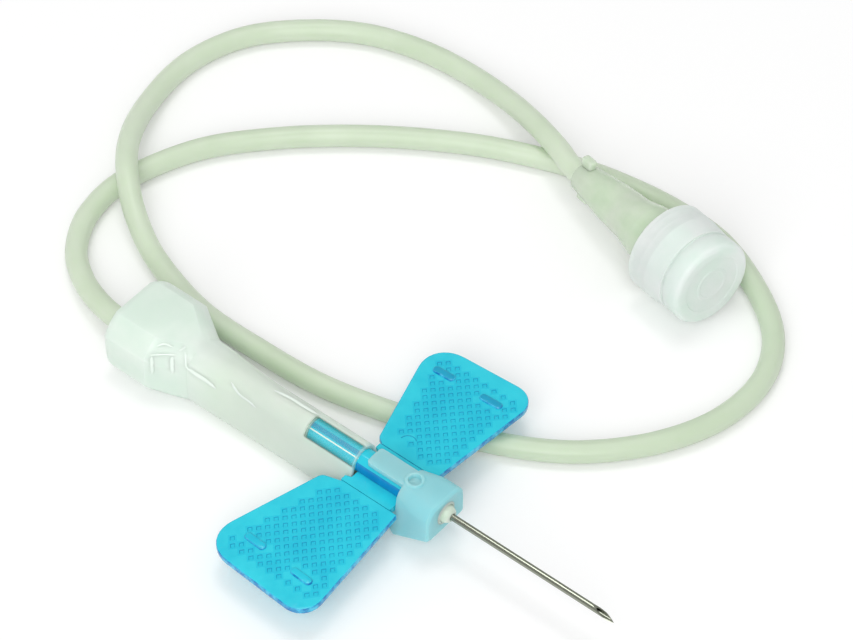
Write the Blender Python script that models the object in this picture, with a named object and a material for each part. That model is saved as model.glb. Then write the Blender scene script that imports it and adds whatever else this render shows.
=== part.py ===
# Winged infusion needle, the kind called a butterfly needle, lying on a table.
# A steel cannula is glued in a slim hub on the end of a PVC line with a capped luer connector.
# The hub runs inside a frosted safety shield that carries two blue wings. Pushed forward over
# the cannula, the shield covers the tip.
# Metres, +Z up, +X toward the tip. The origin is on the table, midway between the grip's rear
# face and the tip, and +Y is on the left of someone looking toward the tip.

import bpy
import bmesh
import math
from mathutils import Matrix, Vector

# Cannula, hub and glue
NEEDLE_HEIGHT = 0.0046
EXPOSED_LENGTH = 0.0190
CANNULA_RADIUS = 0.00032
CANNULA_BORE_RADIUS = 0.00020
CANNULA_TAIL = 0.0004
BEVEL_ANGLE = math.radians(15.0)
HUB_RADIUS = 0.00090
HUB_FRONT_STEP = 0.0003
COLLAR_RADIUS = 0.00115
COLLAR_LENGTH = 0.0007
FOOT_WIDTH = 0.0026
FOOT_DEPTH = 0.0022
BEAD_LENGTH = 0.00110
BEAD_TIP_RADIUS = 0.00048

# Safety shield: the sleeve with its grip, the window over the wings, and the nose
SLEEVE_LENGTH = 0.0282
WINDOW_LENGTH = 0.0055
NOSE_LENGTH = 0.0041
SHIELD_WALL = 0.00040
REAR_WALL = 0.0008
NOSE_WALL = 0.0012
GRIP_LENGTH = 0.0054
GRIP_WIDTH = 0.0088
GRIP_HEIGHT = 0.0072
GRIP_TOP_CORNER = 0.0018
GRIP_BOTTOM_CORNER = 0.0019
GRIP_EDGE = 0.0009
GRIP_EDGE_LENGTH = 0.0012
GRIP_REAR_LIFT = 0.0006
GRIP_ROUNDNESS = 0.35
FLARE_LENGTH = 0.0035
TAPER_LENGTH = 0.0078
TAPER_WIDTH = 0.0049
TAPER_HEIGHT = 0.0063
TAPER_TOP_CORNER = 0.0022
SLEEVE_WIDTH = 0.0047
SLEEVE_BOTTOM_CORNER = 0.0014
NOSE_WIDTH = 0.0052
NOSE_ROOF = 0.00055
NOSE_TOP_CORNER = 0.0012
NOSE_BOTTOM_CORNER = 0.00025
NOSE_SHOULDER_LENGTH = 0.0021
NOSE_SHOULDER_DROP = 0.0006
NOSE_RAMP_HEIGHT = 0.0026
NOSE_RAMP_LEAD = 0.0013
NOSE_EDGE = 0.0002
NOSE_ROUNDNESS = 0.7
NOSE_OPENING_RADIUS = 0.00105
REAR_OPENING_RADIUS = 0.0013
REAR_OPENING_DROP = 0.0020
TONGUE_WIDTH = 0.0021
TONGUE_THICKNESS = 0.0005
TONGUE_REACH = 0.0043
TONGUE_END_ROUNDING = 0.8
DIMPLE_RADIUS = 0.00070
DIMPLE_FLOOR_RADIUS = 0.00056
DIMPLE_DEPTH = 0.00030
DIMPLE_RIM = 0.00028
DIMPLE_SETBACK = 0.0036

# Wing body and wings. Places along the wings count forward from the window's rear.
WING_ROOT_FRONT = 0.00615
WING_ROOT_REAR = -0.0003
WING_SHOULDER = -0.0016
WING_TIP_FRONT = 0.0072
WING_TIP_REAR = -0.0055
RIB_REAR = -0.0018
RIB_FRONT = 0.00395
WING_TUBE_RADIUS = 0.00120
WING_TUBE_TAIL = 0.0063
WING_TUBE_EDGE = 0.00035
WING_THICKNESS = 0.0007
WING_DROP = 0.0004
WING_EDGE = 0.00012
WING_DROOP = math.radians(2.3)
ROOT_WIDTH = 0.00262
ROOT_OVERHANG = 0.0002
ROOT_NOTCH_LENGTH = 0.0006
HINGE_GAP = 0.00015
WING_SHOULDER_Y = 0.00335
WING_REACH = 0.0166
WING_RIM_ANGLE = math.radians(60.0)
WING_TIP_SLANT = 0.0008
WING_REAR_SKEW = 0.00057
FRONT_CORNER = 0.0022
REAR_CORNER = 0.0028
SHOULDER_CORNER = 0.0007
RIB_LENGTH = 0.0024
RIB_WIDTH = 0.0008
RIB_RISE = 0.00016
RIB_REAR_Y = 0.01285
RIB_FRONT_Y = 0.01325
RIB_END_ROUNDING = 0.95
RIB_TURN = math.radians(3.0)

# Tubing, connector and cap
TUBE_RADIUS = 0.00110
TUBE_END_GAP = 0.0003
CONNECTOR_X = -0.0075
CONNECTOR_Y = 0.0411
CONNECTOR_TURN = math.radians(-13.0)
CONNECTOR_TILT = math.radians(4.0)
SOCKET_DEPTH = 0.0047
SOCKET_REAR_RADIUS = 0.00145
SOCKET_COLLAR_LENGTH = 0.0034
SOCKET_COLLAR_RADIUS = 0.00190
EAR_REACH = 0.00265
EAR_LENGTH = 0.0009
EAR_WIDTH = 0.0009
EAR_TURN = math.radians(-10.0)
BARREL_RADIUS = 0.00210
BARREL_START = 0.0048
BARREL_END = 0.0080
CONNECTOR_BORE_RADIUS = 0.00070
CONNECTOR_VISIBLE = 0.0125
CONE_END = 0.0102
LUER_RADIUS = 0.00285
LUER_DEPTH = 0.0102
LUER_ROOT_RADIUS = 0.00190
LUER_FLANGE_RADIUS = 0.00320
LUER_FLANGE_LENGTH = 0.0010
LUG_REACH = 0.0036
LUG_WIDTH = 0.0020
CAP_LENGTH = 0.0069
CAP_RIM_RADIUS = 0.00460
CAP_END_RADIUS = 0.00440
CAP_WALL = 0.0005
CAP_END_WALL = 0.0023
CAP_GROOVE_DEPTH = 0.00028
CAP_GROOVE_WIDTH = 0.0005
CAP_DISC_LENGTH = 0.0017
CAP_EDGE = 0.0004
CAP_RING_RADIUS = 0.00160
CAP_RING_WIDTH = 0.00035
CAP_RING_RISE = 0.00018
CAP_RING_DRAFT = 0.00007
CAP_RECESS_RADIUS = 0.00330
CAP_RECESS_DEPTH = 0.00020
PLUG_LENGTH = 0.0043
PLUG_BASE_RADIUS = 0.00204
PLUG_TIP_RADIUS = 0.00192
PLUG_END_GAP = 0.0003

# Clearances
GLUE_GAP = 0.00005
SLIDE_GAP = 0.00008
SEAT_GAP = 0.00005
STEP_GAP = 0.0001
REST_GAP = 0.00002

# Facets
TURN_STEPS = 32
FINE_TURN_STEPS = 20
CORNER_STEPS = 5
SMOOTH_ANGLE = math.radians(35.0)
EMPTY_SIZE = 0.003
FULL_ROUND = 1.0
CORNER_CUT = 1 - math.sqrt(0.5)

# Places worked out from the sizes
SHIELD_LENGTH = SLEEVE_LENGTH + WINDOW_LENGTH + NOSE_LENGTH
OVERALL_LENGTH = SHIELD_LENGTH + EXPOSED_LENGTH
X_REAR = -OVERALL_LENGTH / 2
X_NOSE = X_REAR + SHIELD_LENGTH
X_TIP = X_NOSE + EXPOSED_LENGTH
X_GRIP = X_REAR + GRIP_LENGTH
X_FLARE = X_GRIP + FLARE_LENGTH
X_WINDOW = X_REAR + SLEEVE_LENGTH
X_NOSE_REAR = X_WINDOW + WINDOW_LENGTH
X_NOSE_WALL = X_NOSE - NOSE_WALL
X_WING_TUBE_REAR = X_WINDOW - WING_TUBE_TAIL
X_WING_TUBE_FRONT = X_NOSE_WALL - SEAT_GAP
X_COLLAR_FRONT = X_WING_TUBE_REAR - STEP_GAP
X_COLLAR_REAR = X_COLLAR_FRONT - COLLAR_LENGTH
X_HUB_FRONT = X_NOSE - HUB_FRONT_STEP
CORE_RADIUS = WING_TUBE_RADIUS + SEAT_GAP
SLEEVE_TOP_RADIUS = CORE_RADIUS + SHIELD_WALL
WING_TOP = NEEDLE_HEIGHT - WING_DROP
WING_BOTTOM = WING_TOP - WING_THICKNESS
WINDOW_SILL = WING_BOTTOM - STEP_GAP
HINGE_Y = ROOT_WIDTH + HINGE_GAP
WING_INNER_Y = HINGE_Y + HINGE_GAP
TONGUE_UNDERSIDE = NEEDLE_HEIGHT + CORE_RADIUS
NOSE_HEIGHT = TONGUE_UNDERSIDE + NOSE_ROOF
CAP_RIM_S = CONNECTOR_VISIBLE
CAP_END_S = CAP_RIM_S + CAP_LENGTH
CAP_FLOOR_S = CAP_END_S - CAP_END_WALL
CONNECTOR_MOUTH_S = CAP_FLOOR_S - PLUG_END_GAP
TUBE_END_S = SOCKET_DEPTH - TUBE_END_GAP
CONNECTOR_HEIGHT = (REST_GAP + CAP_RIM_RADIUS * math.cos(CONNECTOR_TILT)
                    - CAP_RIM_S * math.sin(CONNECTOR_TILT))

# Route of the tubing on the table, from the hub to the connector. The first loop lies on the
# table, and the second loop crosses over it twice.
TUBE_ROUTE = (
    (-0.0130, 0.0000, 0.00440),
    (-0.0190, 0.0000, 0.00380),
    (-0.0250, 0.0000, 0.00300),
    (-0.0300, -0.0001, 0.00240),
    (-0.0339, 0.0008, 0.00180),
    (-0.0373, 0.0024, 0.00135),
    (-0.0402, 0.0048, 0.00113),
    (-0.0424, 0.0089, 0.00112),
    (-0.0427, 0.0145, 0.00112),
    (-0.0400, 0.0219, 0.00112),
    (-0.0355, 0.0276, 0.00112),
    (-0.0300, 0.0327, 0.00112),
    (-0.0241, 0.0370, 0.00112),
    (-0.0178, 0.0406, 0.00112),
    (-0.0106, 0.0434, 0.00112),
    (-0.0050, 0.0447, 0.00112),
    (0.0010, 0.0452, 0.00112),
    (0.0070, 0.0446, 0.00112),
    (0.0128, 0.0420, 0.00112),
    (0.0172, 0.03875, 0.00112),
    (0.01965, 0.03485, 0.00112),
    (0.0204, 0.0303, 0.00112),
    (0.0194, 0.0251, 0.00112),
    (0.0163, 0.0196, 0.00112),
    (0.0113, 0.0146, 0.00112),
    (0.0044, 0.0108, 0.00112),
    (-0.0038, 0.0082, 0.00112),
    (-0.0110, 0.0066, 0.00112),
    (-0.0181, 0.0062, 0.00112),
    (-0.0256, 0.0064, 0.00112),
    (-0.0330, 0.0084, 0.00130),
    (-0.0380, 0.0109, 0.00210),
    (-0.0417, 0.0138, 0.00340),
    (-0.0449, 0.0177, 0.00300),
    (-0.0477, 0.0235, 0.00160),
    (-0.0487, 0.0302, 0.00114),
    (-0.0469, 0.0364, 0.00112),
    (-0.0428, 0.0412, 0.00112),
    (-0.0377, 0.0447, 0.00112),
    (-0.0318, 0.0465, 0.00112),
    (-0.0258, 0.0468, 0.00125),
    (-0.0199, 0.0457, 0.00210),
    (-0.0155, 0.0442, 0.00300),
    (-0.0117, 0.0427, 0.00350),
)
TUBE_POINTS = 78


def clear_scene():
    for item in list(bpy.data.objects):
        bpy.data.objects.remove(item, do_unlink=True)


def make_material(name, color, roughness, metallic=0.0, alpha=1.0):
    material = bpy.data.materials.new(name)
    material.use_nodes = True
    shader = material.node_tree.nodes["Principled BSDF"]
    shader.inputs["Base Color"].default_value = (*color, 1.0)
    shader.inputs["Roughness"].default_value = roughness
    shader.inputs["Metallic"].default_value = metallic
    shader.inputs["Alpha"].default_value = alpha
    return material


def add_object(name, bm, material=None, parent=None, smooth=True):
    mesh = bpy.data.meshes.new(name)
    bm.to_mesh(mesh)
    bm.free()
    if smooth:
        mesh.shade_smooth()
        mesh.set_sharp_from_angle(angle=SMOOTH_ANGLE)
    item = bpy.data.objects.new(name, mesh)
    bpy.context.scene.collection.objects.link(item)
    if material is not None:
        mesh.materials.append(material)
    if parent is not None:
        item.parent = parent
    return item


def add_empty(name, location, rotation=(0.0, 0.0, 0.0)):
    empty = bpy.data.objects.new(name, None)
    empty.empty_display_size = EMPTY_SIZE
    empty.location = location
    empty.rotation_euler = rotation
    bpy.context.scene.collection.objects.link(empty)
    return empty


def add_cutter(name, bm, parent=None):
    cutter = add_object(name, bm, parent=parent, smooth=False)
    cutter.hide_render = True
    cutter.display_type = "WIRE"
    return cutter


def add_boolean(item, cutter, operation):
    boolean = item.modifiers.new(cutter.name, "BOOLEAN")
    boolean.operation = operation
    boolean.solver = "EXACT"
    boolean.object = cutter


def turned(profile, steps=TURN_STEPS):
    """A closed (x, radius) profile, turned about the X axis."""
    bm = bmesh.new()
    points = [bm.verts.new((x, 0.0, radius)) for x, radius in profile]
    edges = [bm.edges.new((a, b)) for a, b in zip(points, points[1:] + points[:1])]
    bmesh.ops.spin(bm, geom=points + edges, cent=(0, 0, 0), axis=(1, 0, 0),
                   angle=2 * math.pi, steps=steps, use_merge=True)
    bmesh.ops.remove_doubles(bm, verts=bm.verts, dist=1e-7)
    bmesh.ops.dissolve_degenerate(bm, edges=bm.edges, dist=1e-8)
    bmesh.ops.recalc_face_normals(bm, faces=bm.faces)
    return bm


def prism(outline, bottom, top):
    """An (x, y) outline raised from bottom to top."""
    bm = bmesh.new()
    face = bm.faces.new([bm.verts.new((x, y, bottom)) for x, y in outline])
    raised = bmesh.ops.extrude_face_region(bm, geom=[face])["geom"]
    lift = [part for part in raised if isinstance(part, bmesh.types.BMVert)]
    bmesh.ops.translate(bm, verts=lift, vec=(0, 0, top - bottom))
    bmesh.ops.recalc_face_normals(bm, faces=bm.faces)
    return bm


def box(x_range, y_range, z_range):
    outline = [(x_range[0], y_range[0]), (x_range[1], y_range[0]),
               (x_range[1], y_range[1]), (x_range[0], y_range[1])]
    return prism(outline, *z_range)


def rounded_outline(corners, steps=CORNER_STEPS):
    """A polygon of (x, y, corner radius), each corner turned into an arc."""
    outline = []
    for index, (x, y, radius) in enumerate(corners):
        corner = Vector((x, y))
        before = Vector(corners[index - 1][:2]) - corner
        after = Vector(corners[(index + 1) % len(corners)][:2]) - corner
        if radius <= 0:
            outline.append((x, y))
            continue
        half_angle = before.angle(after) / 2
        bisector = (before.normalized() + after.normalized()).normalized()
        center = corner + bisector * radius / math.sin(half_angle)
        start = corner + before.normalized() * radius / math.tan(half_angle) - center
        finish = corner + after.normalized() * radius / math.tan(half_angle) - center
        sweep = start.angle_signed(finish)
        for step in range(steps + 1):
            turn = Matrix.Rotation(-sweep * step / steps, 2)
            outline.append(tuple(center + turn @ start))
    return outline


def section(width_bottom, width_top, bottom, top, corner_bottom, corner_top, roundness):
    """A shield section, symmetric about the needle: two bottom and two top corner circles
    joined by their common tangents. Roundness 0 turns each corner into a flat chamfer."""
    low = Vector((width_bottom / 2 - corner_bottom, bottom + corner_bottom))
    high = Vector((width_top / 2 - corner_top, top - corner_top))
    rise = high - low
    lean = math.atan2(rise.y, rise.x)
    tangent = lean - math.acos((corner_bottom - corner_top) / rise.length)
    side = []
    arcs = ((low, corner_bottom, -math.pi / 2, tangent),
            (high, corner_top, tangent, math.pi / 2))
    for center, radius, start, finish in arcs:
        first = center + radius * Vector((math.cos(start), math.sin(start)))
        last = center + radius * Vector((math.cos(finish), math.sin(finish)))
        for step in range(CORNER_STEPS + 1):
            share = step / CORNER_STEPS
            angle = start + (finish - start) * share
            arc = center + radius * Vector((math.cos(angle), math.sin(angle)))
            side.append(first.lerp(last, share).lerp(arc, roundness))
    mirrored = [Vector((-point.x, point.y)) for point in reversed(side)]
    return side + mirrored


def loft(stations):
    """A closed body through (x, section) stations, capped at both ends."""
    bm = bmesh.new()
    rings = [[bm.verts.new((x, point.x, point.y)) for point in ring] for x, ring in stations]
    for ring, following in zip(rings, rings[1:]):
        for index in range(len(ring)):
            ahead = (index + 1) % len(ring)
            bm.faces.new((ring[index], ring[ahead], following[ahead], following[index]))
    bm.faces.new(rings[0])
    bm.faces.new(rings[-1])
    bmesh.ops.remove_doubles(bm, verts=bm.verts, dist=1e-7)
    bmesh.ops.dissolve_degenerate(bm, edges=bm.edges, dist=1e-8)
    bmesh.ops.recalc_face_normals(bm, faces=bm.faces)
    return bm


def blend(first, last, share):
    return tuple(a + (b - a) * share for a, b in zip(first, last))


def ease(share):
    return share * share * (3 - 2 * share)


def sleeve_size():
    return (SLEEVE_WIDTH, 2 * SLEEVE_TOP_RADIUS, 0.0, NEEDLE_HEIGHT + SLEEVE_TOP_RADIUS,
            SLEEVE_BOTTOM_CORNER, SLEEVE_TOP_RADIUS, FULL_ROUND)


def grip_size(inset, lift=0.0):
    return (GRIP_WIDTH - 2 * inset, GRIP_WIDTH - 2 * inset, inset + lift, GRIP_HEIGHT - inset,
            GRIP_BOTTOM_CORNER, GRIP_TOP_CORNER, GRIP_ROUNDNESS)


def nose_size(inset, shoulder, ramp):
    """Shoulder 1 is the narrow rear of the nose's top, and ramp 1 its raised front."""
    top_width = NOSE_WIDTH - 2 * shoulder * NOSE_SHOULDER_DROP
    return (NOSE_WIDTH - 2 * inset, top_width - 2 * inset, ramp * NOSE_RAMP_HEIGHT + inset,
            NOSE_HEIGHT - inset, NOSE_BOTTOM_CORNER, NOSE_TOP_CORNER, NOSE_ROUNDNESS)


def build_shield(material):
    """One moulding: octagonal grip, tapered sleeve, trough under the wings, ramped nose and a
    tongue that reaches back over the wing tube."""
    taper = (TAPER_WIDTH, TAPER_WIDTH, 0.0, TAPER_HEIGHT, SLEEVE_BOTTOM_CORNER,
             TAPER_TOP_CORNER, FULL_ROUND)
    stations = []
    edge_steps = 4
    for step in range(edge_steps + 1):
        share = step / edge_steps
        inset = 1 - math.sqrt(1 - (1 - share) ** 2)
        size = grip_size(inset * GRIP_EDGE, (1 - share) * GRIP_REAR_LIFT)
        stations.append((X_REAR + share * GRIP_EDGE_LENGTH, section(*size)))
    flare_steps = 6
    for step in range(flare_steps + 1):
        share = step / flare_steps
        size = blend(grip_size(0.0), taper, share)
        stations.append((X_GRIP + share * FLARE_LENGTH, section(*size)))
    taper_steps = 4
    for step in range(1, taper_steps + 1):
        share = step / taper_steps
        size = blend(taper, sleeve_size(), ease(share))
        stations.append((X_FLARE + share * TAPER_LENGTH, section(*size)))
    stations.append((X_NOSE_REAR - NOSE_RAMP_LEAD / 2, section(*sleeve_size())))
    nose_steps = 6
    nose_length = X_NOSE - NOSE_EDGE - X_NOSE_REAR
    for step in range(nose_steps + 1):
        share = step / nose_steps
        forward = share * nose_length
        shoulder = 1 - min(forward / NOSE_SHOULDER_LENGTH, 1)
        ramp = (forward + NOSE_RAMP_LEAD) / (nose_length + NOSE_RAMP_LEAD)
        stations.append((X_NOSE_REAR + forward, section(*nose_size(0.0, shoulder, ramp))))
    stations.append((X_NOSE, section(*nose_size(NOSE_EDGE, 0.0, 1.0))))
    shield = add_object("shield_housing", loft(stations), material)

    # Core of the moulding, straight from behind the rear wall to the nose
    size = sleeve_size()
    core_size = (size[0] - 2 * SHIELD_WALL, size[1] - 2 * SHIELD_WALL, size[2] + SHIELD_WALL,
                 size[3] - SHIELD_WALL, size[4] - SHIELD_WALL, size[5] - SHIELD_WALL, FULL_ROUND)
    core_ring = section(*core_size)
    core = add_cutter("shield_core", loft([(X_REAR + REAR_WALL, core_ring),
                                           (X_NOSE_REAR - NOSE_RAMP_LEAD, core_ring)]))
    add_boolean(shield, core, "DIFFERENCE")

    # Window over the wing roots
    reach = NOSE_WIDTH
    window = add_cutter("shield_window", box((X_WINDOW, X_NOSE_REAR), (-reach, reach),
                                             (WINDOW_SILL, 2 * NOSE_HEIGHT)))
    add_boolean(shield, window, "DIFFERENCE")

    # Stepped bore of the nose, for the wing tube behind and the hub in front
    past = NOSE_WALL
    bore = add_cutter("nose_bore", turned([
        (X_NOSE_REAR - past, 0.0), (X_NOSE_REAR - past, CORE_RADIUS), (X_NOSE_WALL, CORE_RADIUS),
        (X_NOSE_WALL, NOSE_OPENING_RADIUS), (X_NOSE + past, NOSE_OPENING_RADIUS),
        (X_NOSE + past, 0.0)]))
    bore.location.z = NEEDLE_HEIGHT

    # Rear opening, tall enough for the tubing to slope down to the table
    opening_size = (2 * REAR_OPENING_RADIUS, 2 * REAR_OPENING_RADIUS,
                    NEEDLE_HEIGHT - REAR_OPENING_DROP - REAR_OPENING_RADIUS,
                    NEEDLE_HEIGHT + REAR_OPENING_RADIUS, REAR_OPENING_RADIUS,
                    REAR_OPENING_RADIUS, FULL_ROUND)
    opening_ring = section(*opening_size)
    opening = add_cutter("rear_opening", loft([(X_REAR - REAR_WALL, opening_ring),
                                               (X_REAR + 2 * REAR_WALL, opening_ring)]))
    add_boolean(shield, opening, "DIFFERENCE")

    # Tongue with a round end, joined to the top of the nose
    half = TONGUE_WIDTH / 2
    x_end = X_NOSE_REAR - TONGUE_REACH
    x_root = X_NOSE_REAR + NOSE_WALL
    outline = rounded_outline([(x_root, -half, 0), (x_root, half, 0),
                               (x_end, half, half * TONGUE_END_ROUNDING),
                               (x_end, -half, half * TONGUE_END_ROUNDING)])
    tongue = add_cutter("tongue", prism(outline, TONGUE_UNDERSIDE,
                                        TONGUE_UNDERSIDE + TONGUE_THICKNESS))
    add_boolean(shield, tongue, "UNION")
    add_boolean(shield, bore, "DIFFERENCE")

    # Round dimple with a raised rim on top of the nose
    x_dimple = X_NOSE - DIMPLE_SETBACK
    rim_radius = DIMPLE_RADIUS + DIMPLE_RIM
    rim_top = NOSE_HEIGHT + DIMPLE_RIM / 2
    rim_floor = NOSE_HEIGHT - DIMPLE_DEPTH
    rim = turned([(rim_floor, 0.0), (rim_floor, rim_radius), (rim_top - DIMPLE_RIM / 2, rim_radius),
                  (rim_top, rim_radius - DIMPLE_RIM / 2), (rim_top, 0.0)], FINE_TURN_STEPS)
    dimple = turned([(rim_floor, 0.0), (rim_floor, DIMPLE_FLOOR_RADIUS),
                     (rim_top + DIMPLE_RIM, DIMPLE_RADIUS), (rim_top + DIMPLE_RIM, 0.0)],
                    FINE_TURN_STEPS)
    upright = Matrix.Translation((x_dimple, 0, 0)) @ Matrix.Rotation(-math.pi / 2, 4, "Y")
    for bm in (rim, dimple):
        bmesh.ops.transform(bm, matrix=upright, verts=bm.verts)
    add_boolean(shield, add_cutter("dimple_rim", rim), "UNION")
    add_boolean(shield, add_cutter("dimple", dimple), "DIFFERENCE")
    return shield


def build_needle(steel, glue, hub_plastic):
    """Cannula with a ground bevel, the hub that it is glued in, and the bead of glue."""
    axis = add_empty("needle_axis", (0, 0, NEEDLE_HEIGHT))
    x_tail = X_COLLAR_REAR + CANNULA_TAIL
    cannula = add_object("cannula", turned([
        (x_tail, CANNULA_BORE_RADIUS), (x_tail, CANNULA_RADIUS),
        (X_TIP, CANNULA_RADIUS), (X_TIP, CANNULA_BORE_RADIUS)], FINE_TURN_STEPS),
        steel, axis)
    reach = EXPOSED_LENGTH / 4
    grind = add_cutter("bevel_grind", box((-reach, reach), (-reach, reach), (0.0, reach)), axis)
    grind.location = (X_TIP, 0, -CANNULA_RADIUS)
    grind.rotation_euler = (0, BEVEL_ANGLE, 0)
    add_boolean(cannula, grind, "DIFFERENCE")

    bore = CANNULA_RADIUS + GLUE_GAP
    hub = add_object("needle_hub", turned([
        (X_COLLAR_REAR, bore), (X_COLLAR_REAR, COLLAR_RADIUS), (X_COLLAR_FRONT, COLLAR_RADIUS),
        (X_COLLAR_FRONT, HUB_RADIUS), (X_HUB_FRONT, HUB_RADIUS), (X_HUB_FRONT, bore)]),
        hub_plastic, axis)
    half = FOOT_WIDTH / 2
    foot = add_cutter("guide_foot", box((X_COLLAR_REAR, X_COLLAR_FRONT), (-half, half),
                                        (-FOOT_DEPTH, -HUB_RADIUS)), axis)
    add_boolean(hub, foot, "UNION")

    x_bead = X_HUB_FRONT + GLUE_GAP
    outer = []
    for step in range(CORNER_STEPS + 1):
        angle = math.pi / 2 * step / CORNER_STEPS
        outer.append((x_bead + BEAD_LENGTH * math.sin(angle),
                      BEAD_TIP_RADIUS + (HUB_RADIUS - BEAD_TIP_RADIUS) * math.cos(angle)))
    add_object("adhesive_bead", turned([(x_bead, bore)] + outer
                                       + [(x_bead + BEAD_LENGTH, bore)], FINE_TURN_STEPS),
               glue, axis)


def wing_outline(side):
    """A wing in plan, from its inner edge out to two round corners. The soft right wing
    spreads a little further back than the left one."""
    skew = side * WING_REAR_SKEW
    return rounded_outline([
        (X_WINDOW + WING_ROOT_FRONT, WING_INNER_Y, 0),
        (X_WINDOW + WING_TIP_FRONT, WING_REACH, FRONT_CORNER),
        (X_WINDOW + WING_TIP_REAR + skew, WING_REACH - WING_TIP_SLANT, REAR_CORNER),
        (X_WINDOW + WING_SHOULDER + skew, WING_SHOULDER_Y, SHOULDER_CORNER),
        (X_WINDOW + WING_ROOT_REAR, WING_INNER_Y, 0)])


def build_wings(blue):
    """Wing body and two wings. One soft moulding, parted here at its two living hinges."""
    axis = add_empty("wing_body_axis", (0, 0, NEEDLE_HEIGHT))
    edge = WING_TUBE_EDGE
    bore = HUB_RADIUS + SLIDE_GAP
    body = add_object("wing_body", turned([
        (X_WING_TUBE_REAR, 0.0), (X_WING_TUBE_REAR, WING_TUBE_RADIUS - edge),
        (X_WING_TUBE_REAR + edge * CORNER_CUT, WING_TUBE_RADIUS - edge * CORNER_CUT),
        (X_WING_TUBE_REAR + edge, WING_TUBE_RADIUS), (X_WING_TUBE_FRONT, WING_TUBE_RADIUS),
        (X_WING_TUBE_FRONT, 0.0)]), blue, axis)
    front = X_NOSE_REAR - ROOT_OVERHANG
    rear = X_WINDOW + ROOT_OVERHANG
    notch = rear - ROOT_NOTCH_LENGTH
    out = SLEEVE_WIDTH / 2 - ROOT_OVERHANG
    roots = add_cutter("wing_roots", prism(
        [(front, -ROOT_WIDTH), (front, ROOT_WIDTH), (notch, ROOT_WIDTH), (notch, out),
         (rear, out - ROOT_OVERHANG), (rear, -out + ROOT_OVERHANG), (notch, -out),
         (notch, -ROOT_WIDTH)],
        WING_BOTTOM - NEEDLE_HEIGHT, WING_TOP - NEEDLE_HEIGHT), axis)
    add_boolean(body, roots, "UNION")
    past = X_WING_TUBE_FRONT - X_WING_TUBE_REAR
    hole = add_cutter("wing_bore", turned([
        (X_WING_TUBE_REAR - past, 0.0), (X_WING_TUBE_REAR - past, bore),
        (X_WING_TUBE_FRONT + past, bore), (X_WING_TUBE_FRONT + past, 0.0)]), axis)
    add_boolean(body, hole, "DIFFERENCE")

    for name, side in (("left_wing", 1), ("right_wing", -1)):
        hinge = add_empty(name + "_hinge", (0, side * HINGE_Y, WING_TOP),
                          (-side * WING_DROOP, 0, 0))
        outline = [(x, side * (y - HINGE_Y)) for x, y in wing_outline(side)]
        bm = prism(outline, -WING_THICKNESS, 0.0)
        rim = [e for e in bm.edges if e.calc_length() > 0 and len(e.link_faces) == 2
               and e.calc_face_angle(0) > WING_RIM_ANGLE
               and abs(e.verts[0].co.z - e.verts[1].co.z) < 1e-7
               and (e.verts[0].co.y + e.verts[1].co.y) * side > 4 * HINGE_GAP]
        bmesh.ops.bevel(bm, geom=rim, offset=WING_EDGE, segments=1, profile=0.5,
                        affect="EDGES", material=-1)
        wing = add_object(name, bm, blue, hinge)
        for number, (x, y) in enumerate(((RIB_REAR, RIB_REAR_Y), (RIB_FRONT, RIB_FRONT_Y)), 1):
            half_long = RIB_LENGTH / 2
            half_wide = RIB_WIDTH / 2
            end = half_wide * RIB_END_ROUNDING
            capsule = rounded_outline([(-half_long, -half_wide, end), (half_long, -half_wide, end),
                                       (half_long, half_wide, end), (-half_long, half_wide, end)])
            turn = Matrix.Rotation(RIB_TURN, 2)
            center = Vector((X_WINDOW + x, y - HINGE_Y))
            placed = [turn @ Vector(point) + center for point in capsule]
            rib = prism([(point.x, side * point.y) for point in placed], -RIB_RISE, RIB_RISE)
            add_boolean(wing, add_cutter(name + "_rib_" + str(number), rib, hinge), "UNION")


def luer_frame():
    return add_empty("luer_axis", (CONNECTOR_X, CONNECTOR_Y, CONNECTOR_HEIGHT),
                     (0, -CONNECTOR_TILT, CONNECTOR_TURN))


def add_pair(body, name, frame, s_range, reach, width, inner_radius, turn):
    """Two opposite lugs that stand out from a round body, clear of its bore."""
    pair = add_cutter(name, box(s_range, (-reach, reach), (-width / 2, width / 2)), frame)
    pair.rotation_euler.x = turn
    past = s_range[1] - s_range[0]
    middle = add_cutter(name + "_middle", turned([
        (s_range[0] - past, 0.0), (s_range[0] - past, inner_radius),
        (s_range[1] + past, inner_radius), (s_range[1] + past, 0.0)]), frame)
    add_boolean(pair, middle, "DIFFERENCE")
    add_boolean(body, pair, "UNION")


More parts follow.
